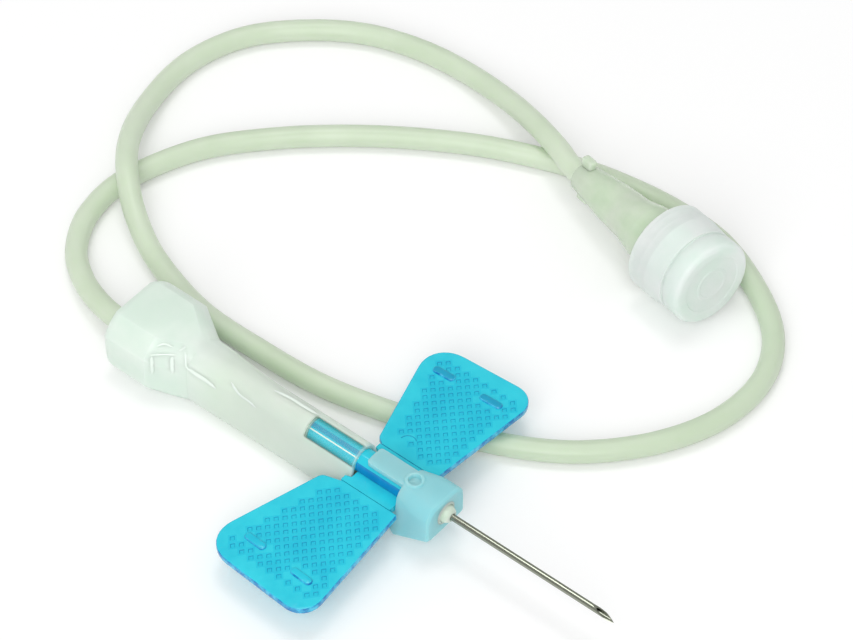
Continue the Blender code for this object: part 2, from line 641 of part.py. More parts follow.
def build_connector(clear, frame):
    """Female luer connector: tube socket with two ears behind, tapered luer bore and two lugs
    in front."""
    socket = TUBE_RADIUS + GLUE_GAP
    mouth = CONNECTOR_MOUTH_S
    plug_share = LUER_DEPTH / PLUG_LENGTH
    mouth_bore = PLUG_BASE_RADIUS + SEAT_GAP
    root_bore = min(mouth_bore - (PLUG_BASE_RADIUS - PLUG_TIP_RADIUS) * plug_share, LUER_ROOT_RADIUS)
    body = add_object("luer_connector", turned([
        (0.0, socket), (0.0, SOCKET_REAR_RADIUS), (SOCKET_COLLAR_LENGTH, SOCKET_COLLAR_RADIUS),
        (BARREL_START, BARREL_RADIUS), (BARREL_END, BARREL_RADIUS),
        (CONE_END, LUER_RADIUS), (mouth - LUER_FLANGE_LENGTH, LUER_RADIUS),
        (mouth - LUER_FLANGE_LENGTH, LUER_FLANGE_RADIUS), (mouth, LUER_FLANGE_RADIUS),
        (mouth, mouth_bore), (mouth - LUER_DEPTH, root_bore),
        (mouth - LUER_DEPTH, CONNECTOR_BORE_RADIUS),
        (SOCKET_DEPTH, CONNECTOR_BORE_RADIUS), (SOCKET_DEPTH, socket)]), clear, frame)
    add_pair(body, "luer_lugs", frame, (mouth - LUER_FLANGE_LENGTH, mouth), LUG_REACH, LUG_WIDTH,
             LUER_FLANGE_RADIUS - 2 * STEP_GAP, 0.0)
    add_pair(body, "socket_ears", frame, (0.0, EAR_LENGTH), EAR_REACH, EAR_WIDTH,
             SOCKET_REAR_RADIUS - STEP_GAP, EAR_TURN + math.pi / 2)


def build_cap(frosted, frame):
    """Cap with a skirt round the connector's mouth and a tapered plug in its bore."""
    rim = CAP_RIM_S
    end = CAP_END_S
    floor = CAP_FLOOR_S
    disc = end - CAP_DISC_LENGTH
    groove_radius = CAP_END_RADIUS - CAP_GROOVE_DEPTH
    ring_in = CAP_RING_RADIUS - CAP_RING_WIDTH / 2
    ring_out = CAP_RING_RADIUS + CAP_RING_WIDTH / 2
    recess = end - CAP_RECESS_DEPTH
    ring_top = recess + CAP_RING_RISE
    profile = [
        (rim, CAP_RIM_RADIUS - CAP_WALL), (rim, CAP_RIM_RADIUS - CAP_EDGE / 2),
        (rim + CAP_EDGE / 2, CAP_RIM_RADIUS), (disc - CAP_GROOVE_WIDTH, CAP_END_RADIUS),
        (disc - CAP_GROOVE_WIDTH, groove_radius), (disc, groove_radius), (disc, CAP_END_RADIUS),
        (end - CAP_EDGE, CAP_END_RADIUS),
        (end - CAP_EDGE * CORNER_CUT, CAP_END_RADIUS - CAP_EDGE * CORNER_CUT),
        (end, CAP_END_RADIUS - CAP_EDGE),
        (end, CAP_RECESS_RADIUS), (recess, CAP_RECESS_RADIUS - CAP_RECESS_DEPTH),
        (recess, ring_out), (ring_top, ring_out - CAP_RING_DRAFT),
        (ring_top, ring_in + CAP_RING_DRAFT), (recess, ring_in), (recess, 0.0),
        (floor - PLUG_LENGTH, 0.0), (floor - PLUG_LENGTH, PLUG_TIP_RADIUS),
        (floor, PLUG_BASE_RADIUS), (floor, CAP_END_RADIUS - CAP_WALL)]
    add_object("luer_cap", turned(profile), frosted, frame)


def smooth_points(route, count):
    """Evenly spaced points on a smooth curve through the route's points."""
    points = [Vector(point) for point in route]
    ends = [2 * points[0] - points[1]] + points + [2 * points[-1] - points[-2]]
    fine = []
    steps = 16
    for index in range(1, len(ends) - 2):
        before, start, finish, after = ends[index - 1:index + 3]
        for step in range(steps):
            t = step / steps
            fine.append(0.5 * (2 * start + (finish - before) * t
                               + (2 * before - 5 * start + 4 * finish - after) * t * t
                               + (3 * start - before - 3 * finish + after) * t ** 3))
    fine.append(points[-1])
    lengths = [0.0]
    for a, b in zip(fine, fine[1:]):
        lengths.append(lengths[-1] + (b - a).length)
    result = []
    index = 0
    for number in range(count):
        target = lengths[-1] * number / (count - 1)
        while index < len(fine) - 2 and lengths[index + 1] < target:
            index += 1
        share = (target - lengths[index]) / (lengths[index + 1] - lengths[index])
        result.append(fine[index].lerp(fine[index + 1], min(share, 1.0)))
    return result


def build_tubing(pvc, frame):
    """PVC tubing from the hub's collar to the connector's socket."""
    x_start = X_COLLAR_REAR - TUBE_END_GAP
    start = [(x_start, 0.0, NEEDLE_HEIGHT), (x_start - 2 * TUBE_RADIUS, 0.0, NEEDLE_HEIGHT)]
    place = Matrix.LocRotScale(frame.location, frame.rotation_euler, None)
    finish = [place @ Vector((-TUBE_RADIUS, 0, 0)), place @ Vector((TUBE_END_S, 0, 0))]
    points = smooth_points(start + list(TUBE_ROUTE) + finish, TUBE_POINTS)
    curve = bpy.data.curves.new("tubing", "CURVE")
    curve.dimensions = "3D"
    curve.bevel_depth = TUBE_RADIUS
    curve.bevel_resolution = 2
    curve.use_fill_caps = True
    spline = curve.splines.new("POLY")
    spline.points.add(len(points) - 1)
    for target, point in zip(spline.points, points):
        target.co = (*point, 1.0)
    curve.materials.append(pvc)
    tubing = bpy.data.objects.new("tubing", curve)
    bpy.context.scene.collection.objects.link(tubing)


def main():
    clear_scene()
    steel = make_material("polished steel", (0.62, 0.63, 0.64), 0.22, 1.0)
    glue = make_material("cured adhesive", (0.82, 0.80, 0.68), 0.35)
    hub_plastic = make_material("natural plastic", (0.85, 0.87, 0.84), 0.4)
    frosted = make_material("frosted plastic", (0.80, 0.88, 0.83), 0.45, alpha=0.7)
    blue = make_material("clear blue plastic", (0.03, 0.50, 0.70), 0.18, alpha=0.85)
    pvc = make_material("clear flexible plastic", (0.70, 0.76, 0.62), 0.15, alpha=0.7)
    clear = make_material("clear rigid plastic", (0.68, 0.78, 0.66), 0.1, alpha=0.6)
    build_shield(frosted)
    build_needle(steel, glue, hub_plastic)
    build_wings(blue)
    frame = luer_frame()
    build_connector(clear, frame)
    build_cap(frosted, frame)
    build_tubing(pvc, frame)


main()
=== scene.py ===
# Winged infusion needle on a pale table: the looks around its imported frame.
import bpy
import bmesh
import math
from mathutils import Matrix, Vector
from mathutils.bvhtree import BVHTree


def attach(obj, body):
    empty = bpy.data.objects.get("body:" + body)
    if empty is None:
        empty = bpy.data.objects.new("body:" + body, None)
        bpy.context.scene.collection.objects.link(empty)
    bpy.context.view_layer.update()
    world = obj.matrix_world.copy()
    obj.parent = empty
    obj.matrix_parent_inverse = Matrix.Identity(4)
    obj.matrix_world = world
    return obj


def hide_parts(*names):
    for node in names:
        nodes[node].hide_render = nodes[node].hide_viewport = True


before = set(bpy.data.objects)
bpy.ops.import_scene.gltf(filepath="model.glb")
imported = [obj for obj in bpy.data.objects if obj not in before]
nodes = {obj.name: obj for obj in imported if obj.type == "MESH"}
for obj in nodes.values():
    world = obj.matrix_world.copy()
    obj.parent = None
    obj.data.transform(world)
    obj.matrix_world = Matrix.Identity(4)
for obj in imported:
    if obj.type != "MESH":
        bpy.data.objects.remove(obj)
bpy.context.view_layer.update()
mm = 0.001
print("frame loaded:", len(nodes), "nodes")


# sRGB hex to the linear colour that a shader takes
def linearColour(hexText):
    parts = [int(hexText[i:i + 2], 16) / 255 for i in (1, 3, 5)]
    return [p / 12.92 if p <= 0.04045 else ((p + 0.055) / 1.055) ** 2.4 for p in parts] + [1.0]


# one node with its settings, socket values and links
def addNode(material, kind, settings=None, values=None, links=None):
    node = material.node_tree.nodes.new(kind)
    for name, value in (settings or {}).items():
        setattr(node, name, value)
    for socket, value in (values or {}).items():
        node.inputs[socket].default_value = value
    for socket, source in (links or {}).items():
        material.node_tree.links.new(source, node.inputs[socket])
    return node


def emptyMaterial(name):
    material = bpy.data.materials.new(name)
    material.use_nodes = True
    material.node_tree.nodes.clear()
    return material


# the two ways that a band is measured in, and how softly it ends over the line and at its sides
bandLook = {"front": (0.0, -0.53, 0.85), "aside": (0.0, 0.85, 0.53), "softOver": 0.2,
            "softSide": 0.25}


# A band over a line along X, on the side that faces up and to the front: one share for being far
# enough over the line and one for being near enough to it. band has the line's Z, how far over
# the line it starts and half its width, in mm.
def bandShares(material, place, band):
    height, over, half = band
    fromLine = addNode(material, "ShaderNodeVectorMath", {"operation": "SUBTRACT"},
                       {1: (0.0, 0.0, height * mm)}, {0: place.outputs["Object"]})
    front, aside = [addNode(material, "ShaderNodeVectorMath", {"operation": "DOT_PRODUCT"},
                            {1: bandLook[way]}, {0: fromLine.outputs[0]})
                    for way in ("front", "aside")]
    width = addNode(material, "ShaderNodeMath", {"operation": "ABSOLUTE"},
                    links={0: aside.outputs["Value"]})
    overLine = addNode(material, "ShaderNodeMapRange", {"interpolation_type": "SMOOTHSTEP"},
                       {"From Min": over * mm, "From Max": (over + bandLook["softOver"]) * mm},
                       {"Value": front.outputs["Value"]})
    nearLine = addNode(material, "ShaderNodeMapRange", {"interpolation_type": "SMOOTHSTEP"},
                       {"From Min": (half - bandLook["softSide"]) * mm, "From Max": half * mm,
                        "To Min": 1.0, "To Max": 0.0}, {"Value": width.outputs[0]})
    return overLine, nearLine


# A moulded or extruded plastic: two close tints in soft clouds, a fine grain in the surface.
# cloud and grain are in mm. Each tinge has its colour, the X it starts at, the X it is full at and
# its amount there. Each step under clear has two such X, the change of the alpha, and its band or
# None if it goes all round.
def plastic(name, look):
    material = emptyMaterial(name)
    place = addNode(material, "ShaderNodeTexCoord")
    cloud = addNode(material, "ShaderNodeTexNoise",
                    values={"Scale": 1000 / look["cloud"], "Detail": 3.0, "Roughness": 0.55},
                    links={"Vector": place.outputs["Object"]})
    grain = addNode(material, "ShaderNodeTexNoise",
                    values={"Scale": 1000 / look["grain"], "Detail": 1.0, "Roughness": 0.5},
                    links={"Vector": place.outputs["Object"]})
    spread = addNode(material, "ShaderNodeMapRange",
                     values={"From Min": 0.36, "From Max": 0.64},
                     links={"Value": cloud.outputs["Fac"]})
    tint = addNode(material, "ShaderNodeMix", {"data_type": "RGBA"},
                   {6: linearColour(look["tint"]), 7: linearColour(look["deep"])},
                   {0: spread.outputs[0]})
    rough = addNode(material, "ShaderNodeMapRange",
                    values={"From Min": 0.3, "From Max": 0.7, "To Min": look["rough"][0],
                            "To Max": look["rough"][1]}, links={"Value": grain.outputs["Fac"]})
    bump = addNode(material, "ShaderNodeBump",
                   values={"Strength": 1.0, "Distance": look["depth"] * mm},
                   links={"Height": grain.outputs["Fac"]})
    spot = addNode(material, "ShaderNodeSeparateXYZ", links={0: place.outputs["Object"]})
    for colour, start, finish, amount in look.get("tinges", ()):
        reached = addNode(material, "ShaderNodeMapRange", {"interpolation_type": "SMOOTHSTEP"},
                          {"From Min": start * mm, "From Max": finish * mm, "To Max": amount},
                          {"Value": spot.outputs["X"]})
        tint = addNode(material, "ShaderNodeMix", {"data_type": "RGBA"}, {7: linearColour(colour)},
                       {0: reached.outputs[0], 6: tint.outputs[2]})
    shader = addNode(material, "ShaderNodeBsdfPrincipled", values=look["shader"],
                     links={"Base Color": tint.outputs[2], "Roughness": rough.outputs[0],
                            "Normal": bump.outputs[0]})
    alpha = None
    for start, finish, change, band in look.get("clear", ()):
        step = addNode(material, "ShaderNodeMapRange", {"interpolation_type": "SMOOTHSTEP"},
                       {"From Min": start * mm, "From Max": finish * mm, "To Max": change},
                       {"Value": spot.outputs["X"]})
        for share in bandShares(material, place, band) if band else ():
            step = addNode(material, "ShaderNodeMath", {"operation": "MULTIPLY"},
                           links={0: step.outputs[0], 1: share.outputs[0]})
        last = alpha
        alpha = addNode(material, "ShaderNodeMath", {"operation": "ADD"},
                        {1: look["shader"]["Alpha"]}, {0: step.outputs[0]})
        if last:
            material.node_tree.links.new(last.outputs[0], alpha.inputs[1])
    if alpha:
        material.node_tree.links.new(alpha.outputs[0], shader.inputs["Alpha"])
    addNode(material, "ShaderNodeOutputMaterial", links={"Surface": shader.outputs[0]})
    return material


# Ground or drawn steel: fine lines along X in the roughness and the surface
def steel(name, look):
    material = emptyMaterial(name)
    place = addNode(material, "ShaderNodeTexCoord")
    run = addNode(material, "ShaderNodeMapping", values={"Scale": look["stretch"]},
                  links={"Vector": place.outputs["Object"]})
    lines = addNode(material, "ShaderNodeTexNoise",
                    values={"Scale": 1000 / look["lines"], "Detail": 2.0},
                    links={"Vector": run.outputs[0]})
    tint = addNode(material, "ShaderNodeMix", {"data_type": "RGBA"},
                   {6: linearColour(look["tint"]), 7: linearColour(look["deep"])},
                   {0: lines.outputs["Fac"]})
    rough = addNode(material, "ShaderNodeMapRange",
                    values={"From Min": 0.3, "From Max": 0.7, "To Min": look["rough"][0],
                            "To Max": look["rough"][1]}, links={"Value": lines.outputs["Fac"]})
    bump = addNode(material, "ShaderNodeBump",
                   values={"Strength": 1.0, "Distance": look["depth"] * mm},
                   links={"Height": lines.outputs["Fac"]})
    shader = addNode(material, "ShaderNodeBsdfPrincipled", values={"Metallic": 1.0},
                     links={"Base Color": tint.outputs[2], "Roughness": rough.outputs[0],
                            "Normal": bump.outputs[0]})
    addNode(material, "ShaderNodeOutputMaterial", links={"Surface": shader.outputs[0]})
    return material


# light that spreads inside a milky plastic, by how far in mm
def milky(reach):
    return {"Subsurface Weight": 1.0, "Subsurface Radius": (1.0, 1.0, 1.0),
            "Subsurface Scale": reach * mm}


# PVC, extruded and plasticised: milky green-grey, soft gloss
linePvc = plastic("extruded flexible PVC", {
    "tint": "#DCE8D3", "deep": "#D4E2CA", "cloud": 9.0, "grain": 0.9, "depth": 0.001,
    "rough": (0.32, 0.38), "tinges": (("#C4D6BA", -2.0, 8.0, 0.35),),
    "shader": {"IOR": 1.53, "Alpha": 0.92} | milky(0.9)})
# Polypropylene from a spark-eroded mould: frosted, mint-white, cloudy. It is thinner along the
# sleeve and clearest where it touches the blue tube; at the tongue and nose it is tinted cyan as
# painted blue light from the blue parts under it. The real grain is about 0.05 mm and would not
# show, so it is drawn at 0.35 mm.
frostedShield = plastic("frosted moulded polypropylene", {
    "tint": "#E9F6EB", "deep": "#E1F1E5", "cloud": 4.5, "grain": 0.35, "depth": 0.004,
    "rough": (0.34, 0.46),
    # the second and third tinges are painted blue light at the tongue and nose
    "tinges": (("#E2F9DC", -21.0, -15.0, 0.50), ("#90DCEA", -1.0, 1.5, 0.75),
               ("#7ED8E4", 5.2, 6.8, 0.35)),
    "clear": ((-21.0, -15.0, -0.06, None), (-6.2, -5.8, -0.84, (4.6, 0.2, 1.25)),
              (-0.5, 0.1, 0.84, (4.6, 0.2, 1.25)), (-0.5, 0.1, -0.12, None),
              (4.0, 6.0, 0.08, None)),
    "shader": {"IOR": 1.49, "Alpha": 0.95} | milky(0.8)})
# The mould's polished corners on the shield, and the tube's slit edge, in a whiter, smoother and
# opaque copy of the shield's plastic: painted highlights that show as white lines
glintWhite = plastic("polypropylene whitened for painted glints", {
    "tint": "#EEF9F0", "deep": "#E8F5EB", "cloud": 4.5, "grain": 0.6, "depth": 0.002,
    "rough": (0.14, 0.22), "shader": {"IOR": 1.49}})
# Polyethylene cap: softer and milkier than the shield, waxy
cappingPolythene = plastic("frosted moulded polythene", {
    "tint": "#EEFAF2", "deep": "#E6F6EC", "cloud": 3.5, "grain": 0.40, "depth": 0.004,
    "rough": (0.38, 0.50), "shader": {"IOR": 1.51, "Alpha": 0.94} | milky(0.8)})
# Clear PVC moulded for the wings: strong cyan, glossy
wingBlue = plastic("clear blue moulded PVC", {
    "tint": "#2ED6E9", "deep": "#22CCE3", "cloud": 3.0, "grain": 0.6, "depth": 0.002,
    "rough": (0.16, 0.24), "shader": {"IOR": 1.45, "Alpha": 0.95}})
# The same PVC in the knurl and between its recesses: a little deeper in colour
knurlBlue = plastic("clear blue moulded PVC of the knurl", {
    "tint": "#20CEE6", "deep": "#16C4E0", "cloud": 3.0, "grain": 0.6, "depth": 0.002,
    "rough": (0.16, 0.24), "shader": {"IOR": 1.45, "Alpha": 0.95}})
# The same PVC darkened as painted shade, where less light comes back: darker lines down the steep
# sides of recesses and slits, on the left wing's rib tops and in the pin mark
shadeBlue = plastic("clear blue moulded PVC darkened as painted shade", {
    "tint": "#12AACE", "deep": "#0E9EC6", "cloud": 3.0, "grain": 0.6, "depth": 0.002,
    "rough": (0.18, 0.26), "shader": {"IOR": 1.45, "Alpha": 0.95}})
# The same PVC along a wing's edge, which is looked through the long way: deep blue, with pale
# flecks as painted glints of the knurl. On the ribs' sides it is painted shade.
edgeGlintShadeBlue = plastic("clear blue PVC seen along its edge", {
    "tint": "#48CCF0", "deep": "#067CC4", "cloud": 0.7, "grain": 0.5, "depth": 0.004,
    "rough": (0.10, 0.18), "shader": {"IOR": 1.53, "Alpha": 0.95}})
# The same PVC round the pale hub, on the tube's sides that turn down from the light: the deepest
# blue as painted shade, polished and wet-looking
tubeShadeBlue = plastic("clear blue moulded PVC painted with shade round the hub", {
    "tint": "#0A9ADA", "deep": "#0684C8", "cloud": 2.0, "grain": 0.6, "depth": 0.002,
    "rough": (0.08, 0.14), "shader": {"IOR": 1.53, "Alpha": 0.88}})
# Clear rigid PVC of the connector: glassy with a green-grey cast
connectorClear = plastic("clear moulded rigid PVC", {
    "tint": "#E6F4DE", "deep": "#DAECD2", "cloud": 2.5, "grain": 0.8, "depth": 0.0008,
    "rough": (0.12, 0.20), "shader": {"IOR": 1.53, "Alpha": 0.72} | milky(0.8)})
# Natural polypropylene of the slim hub: pale and slightly waxy
hubNatural = plastic("natural moulded polypropylene", {
    "tint": "#D6F0EE", "deep": "#C6E6E6", "cloud": 1.5, "grain": 0.4, "depth": 0.004,
    "rough": (0.30, 0.42), "shader": {"IOR": 1.49, "Alpha": 0.70}})
# Light-cured adhesive: cream, wet gloss, tiny bubbles
glueCream = plastic("light-cured adhesive", {
    "tint": "#E6F6E4", "deep": "#DAEEDA", "cloud": 0.7, "grain": 0.3, "depth": 0.004,
    "rough": (0.16, 0.28), "shader": {"IOR": 1.50, "Alpha": 0.80} | milky(0.4)})
# Stainless tube, drawn and polished: grey, with soft long lights. The real drawing lines are finer
# than can show, so they are drawn at 0.12 mm.
drawnSteel = steel("drawn stainless steel", {
    "tint": "#9CA092", "deep": "#888C7E", "lines": 0.12, "stretch": (0.03, 1, 1),
    "depth": 0.0004, "rough": (0.16, 0.24)})
print("materials made")


# a named piece from a finished mesh: its materials, the body it rides on and the CAD nodes that it
# replaces; edges up to smoothTo degrees shade smooth
def finishPiece(name, bm, materials, body, replaced=(), smoothTo=38, place=None):
    if place is not None:
        bmesh.ops.transform(bm, matrix=place, verts=bm.verts)
    mesh = bpy.data.meshes.new(name)
    bm.to_mesh(mesh)
    bm.free()
    for material in materials:
        mesh.materials.append(material)
    mesh.shade_smooth()
    mesh.set_sharp_from_angle(angle=math.radians(smoothTo))
    piece = bpy.data.objects.new(name, mesh)
    bpy.context.scene.collection.objects.link(piece)
    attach(piece, body)
    if replaced:
        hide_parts(*replaced)
    return piece


# a closed outline of (along X, radius) in mm, turned about the X axis
def turnedForm(outline, steps=72, rounding=0.0):
    bm = bmesh.new()
    points = [bm.verts.new((x * mm, 0, r * mm)) for x, r in outline]
    edges = [bm.edges.new(pair) for pair in zip(points, points[1:] + points[:1])]
    if rounding:
        offAxis = [v for v in points if v.co.z > 1e-6]
        bmesh.ops.bevel(bm, geom=offAxis, offset=rounding * mm, segments=3, profile=0.5,
                        affect="VERTICES", material=-1, clamp_overlap=True)
    bmesh.ops.spin(bm, geom=bm.verts[:] + bm.edges[:], cent=(0, 0, 0), axis=(1, 0, 0),
                   angle=2 * math.pi, steps=steps, use_merge=True)
    bmesh.ops.remove_doubles(bm, verts=bm.verts, dist=1e-7)
    bmesh.ops.dissolve_degenerate(bm, edges=bm.edges, dist=1e-8)
    bmesh.ops.recalc_face_normals(bm, faces=bm.faces)
    return bm


# a merged copy of a CAD node, its flat faces whole again
def copiedNode(name, flatTo=0.5):
    bm = bmesh.new()
    bm.from_mesh(nodes[name].data)
    bmesh.ops.remove_doubles(bm, verts=bm.verts, dist=1e-6)
    bmesh.ops.dissolve_limit(bm, angle_limit=math.radians(flatTo), verts=bm.verts, edges=bm.edges)
    bmesh.ops.recalc_face_normals(bm, faces=bm.faces)
    return bm


# camera where the photograph was taken from, a long lens well above the table
cameraPlace = {"from": (160.4, -185.2, 298.7), "to": (-9.27, 19.82, 0.0), "lens": 178.94}
cameraData = bpy.data.cameras.new("camera")
camera = bpy.data.objects.new("camera", cameraData)
bpy.context.scene.collection.objects.link(camera)
bpy.context.scene.camera = camera
cameraData.sensor_width = 36.0
cameraData.lens = cameraPlace["lens"]
cameraData.clip_start = 0.01
cameraData.clip_end = 20.0
camera.location = Vector(cameraPlace["from"]) * mm
camera.rotation_mode = "QUATERNION"
sight = Vector(cameraPlace["to"]) - Vector(cameraPlace["from"])
camera.rotation_quaternion = sight.to_track_quat("-Z", "Y")

# where the connector lies: its axis points along +X before this turn
luer = {"x": -7.5, "y": 41.1, "turn": -13.0, "tilt": 4.0, "rimRadius": 4.6, "rimAt": 12.5,
        "rest": 0.02}
luerHeight = (luer["rest"] + luer["rimRadius"] * math.cos(math.radians(luer["tilt"]))
              - luer["rimAt"] * math.sin(math.radians(luer["tilt"])))
luerPlace = (Matrix.Translation(Vector((luer["x"], luer["y"], luerHeight)) * mm)
             @ Matrix.Rotation(math.radians(luer["turn"]), 4, "Z")
             @ Matrix.Rotation(math.radians(-luer["tilt"]), 4, "Y"))

line = {
    "radius": 1.10, "finePoints": 420, "needleHeight": 4.6, "start": -7.6, "socketEnd": 4.4,
    "route": (
        (-13.0, 0.0, 4.40), (-19.0, 0.0, 3.80), (-25.0, 0.0, 3.00), (-30.0, -0.1, 2.40),
        (-33.9, 0.8, 1.80), (-37.3, 2.4, 1.35), (-40.2, 4.8, 1.13), (-42.4, 8.9, 1.12),
        (-42.7, 14.5, 1.12), (-40.0, 21.9, 1.12), (-35.5, 27.6, 1.12), (-30.0, 32.7, 1.12),
        (-24.1, 37.0, 1.12), (-17.8, 40.6, 1.12), (-10.6, 43.4, 1.12), (-5.0, 44.7, 1.12),
        (1.0, 45.2, 1.12), (7.0, 44.6, 1.12), (12.8, 42.0, 1.12), (17.2, 38.75, 1.12),
        (19.65, 34.85, 1.12), (20.4, 30.3, 1.12), (19.4, 25.1, 1.12), (16.3, 19.6, 1.12),
        (11.3, 14.6, 1.12), (4.4, 10.8, 1.12), (-3.8, 8.2, 1.12), (-11.0, 6.6, 1.12),
        (-18.1, 6.2, 1.12), (-25.6, 6.4, 1.12), (-33.0, 8.4, 1.30), (-38.0, 10.9, 2.10),
        (-41.7, 13.8, 3.40), (-44.9, 17.7, 3.00), (-47.7, 23.5, 1.60), (-48.7, 30.2, 1.14),
        (-46.9, 36.4, 1.12), (-42.8, 41.2, 1.12), (-37.7, 44.7, 1.12), (-31.8, 46.5, 1.12),
        (-25.8, 46.8, 1.25), (-19.9, 45.7, 2.10), (-15.5, 44.2, 3.00), (-11.7, 42.7, 3.50)),
}


# evenly spaced points on a smooth curve through the route
def smoothRoute(route, count, between=16):
    ends = [2 * route[0] - route[1]] + route + [2 * route[-1] - route[-2]]
    fine = []
    for i in range(1, len(ends) - 2):
        p0, p1, p2, p3 = ends[i - 1:i + 3]
        for step in range(between):
            t = step / between
            fine.append(0.5 * (2 * p1 + (p2 - p0) * t + (2 * p0 - 5 * p1 + 4 * p2 - p3) * t * t
                               + (3 * p1 - p0 - 3 * p2 + p3) * t ** 3))
    fine.append(route[-1])
    lengths = [0.0]
    for a, b in zip(fine, fine[1:]):
        lengths.append(lengths[-1] + (b - a).length)
    even, i = [], 0
    for number in range(count):
        target = lengths[-1] * number / (count - 1)
        while i < len(fine) - 2 and lengths[i + 1] < target:
            i += 1
        share = (target - lengths[i]) / (lengths[i + 1] - lengths[i])
        even.append(fine[i].lerp(fine[i + 1], min(share, 1.0)))
    return even, lengths[-1]


def makeLine():
    start = [(line["start"], 0, line["needleHeight"]),
             (line["start"] - 2 * line["radius"], 0, line["needleHeight"])]
    route = [Vector(p) * mm for p in start + list(line["route"])]
    route += [luerPlace @ Vector((-line["radius"] * mm, 0, 0)),
              luerPlace @ Vector((line["socketEnd"] * mm, 0, 0))]
    points, length = smoothRoute(route, line["finePoints"])
    curve = bpy.data.curves.new("infusionLine", "CURVE")
    curve.dimensions = "3D"
    curve.bevel_depth = line["radius"] * mm
    curve.bevel_resolution = 6
    curve.use_fill_caps = True
    spline = curve.splines.new("POLY")
    spline.points.add(len(points) - 1)
    for target, point in zip(spline.points, points):
        target.co = (*point, 1.0)
    spline.use_smooth = True
    curve.materials.append(linePvc)
    piece = bpy.data.objects.new("infusionLine", curve)
    bpy.context.scene.collection.objects.link(piece)
    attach(piece, "needle_line")
    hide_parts("tubing")
    print("line made, %.1f mm long" % (length / mm))
    return piece, points[0], length


infusionLine, lineStart, lineLength = makeLine()

connector = {
    "socketBore": 1.15, "socketDepth": 4.7, "rearRadius": 1.45, "collarRadius": 1.90,
    "collarEnd": 3.4, "barrelRadius": 2.10, "barrelStart": 4.8, "barrelEnd": 8.0,
    "barrelFull": 2.34, "coneEnd": 10.2, "luerRadius": 2.85, "mouth": 16.8, "rimRadius": 3.2,
    "rimLength": 1.0, "mouthBore": 2.09, "rootBore": 1.86, "luerDepth": 10.2, "lineBore": 0.70,
    "rounding": 0.12, "lugReach": 3.6, "lugWidth": 2.0, "lugRounding": 0.25, "lugSunk": 0.1,
    "earFrom": 0.02, "earReach": 2.50, "earLength": 1.5, "earWidth": 0.9, "earTurn": 80.0,
}


# two opposite lugs on a round body: along X from start to finish, out from its radius to reach
def addLugs(bm, start, finish, radius, reach, width, turn):
    inner = radius - connector["lugSunk"]
    for side in (1, -1):
        lug = bmesh.ops.create_cube(bm, size=1.0)["verts"]
        bmesh.ops.scale(bm, verts=lug,
                        vec=((finish - start) * mm, (reach - inner) * mm, width * mm))
        bmesh.ops.translate(bm, verts=lug, vec=((start + finish) / 2 * mm,
                                                side * (reach + inner) / 2 * mm, 0))
        bmesh.ops.rotate(bm, verts=lug, cent=(0, 0, 0),
                         matrix=Matrix.Rotation(math.radians(turn), 3, "X"))
        lugEdges = list({e for v in lug for e in v.link_edges})
        bmesh.ops.bevel(bm, geom=lugEdges, offset=connector["lugRounding"] * mm, segments=4,
                        profile=0.5, affect="EDGES", material=-1)


def makeConnector():
    c = connector
    bm = turnedForm([
        (0, c["socketBore"]), (0, c["rearRadius"]), (c["collarEnd"], c["collarRadius"]),
        (c["barrelStart"], c["barrelRadius"]), (c["barrelEnd"], c["barrelFull"]),
        (c["coneEnd"], c["luerRadius"]), (c["mouth"] - c["rimLength"], c["luerRadius"]),
        (c["mouth"] - c["rimLength"], c["rimRadius"]), (c["mouth"], c["rimRadius"]),
        (c["mouth"], c["mouthBore"]), (c["mouth"] - c["luerDepth"], c["rootBore"]),
        (c["mouth"] - c["luerDepth"], c["lineBore"]), (c["socketDepth"], c["lineBore"]),
        (c["socketDepth"], c["socketBore"])], rounding=c["rounding"])
    addLugs(bm, c["mouth"] - c["rimLength"], c["mouth"], c["rimRadius"], c["lugReach"],
            c["lugWidth"], 0.0)
    addLugs(bm, c["earFrom"], c["earLength"], c["rearRadius"], c["earReach"], c["earWidth"],
            c["earTurn"])
    return finishPiece("luerConnector", bm, [connectorClear], "needle_line",
                       ["luer_connector"], place=luerPlace)


cap = {
    "rimAt": 12.5, "length": 6.9, "rimRadius": 4.6, "endRadius": 4.4, "wall": 0.5, "endWall": 2.3,
    "grooveDepth": 0.20, "grooveWidth": 0.45, "disc": 1.9, "edge": 0.4, "endCorner": 0.5,
    "ringRadius": 1.6, "ringWidth": 0.4, "ringRise": 0.05, "ringSlope": 0.07,
    "recessRadius": 3.1, "recessDepth": 0.06,
    "plugLength": 4.3, "plugBase": 2.04, "plugTip": 1.92, "rounding": 0.1,
    # the thread as it shows in the outside, then the thread inside the skirt
    "lineAt": (0.75, 1.6, 2.5), "lineRise": 0.06, "lineHalf": 0.22, "lineSunk": 0.02,
    "threadFrom": 0.5, "threadHalf": 0.25, "threadHeight": 0.2, "threadSunk": 0.1,
    "threadPitch": 1.1, "threadTurns": 1.6, "threadSteps": 110,
}


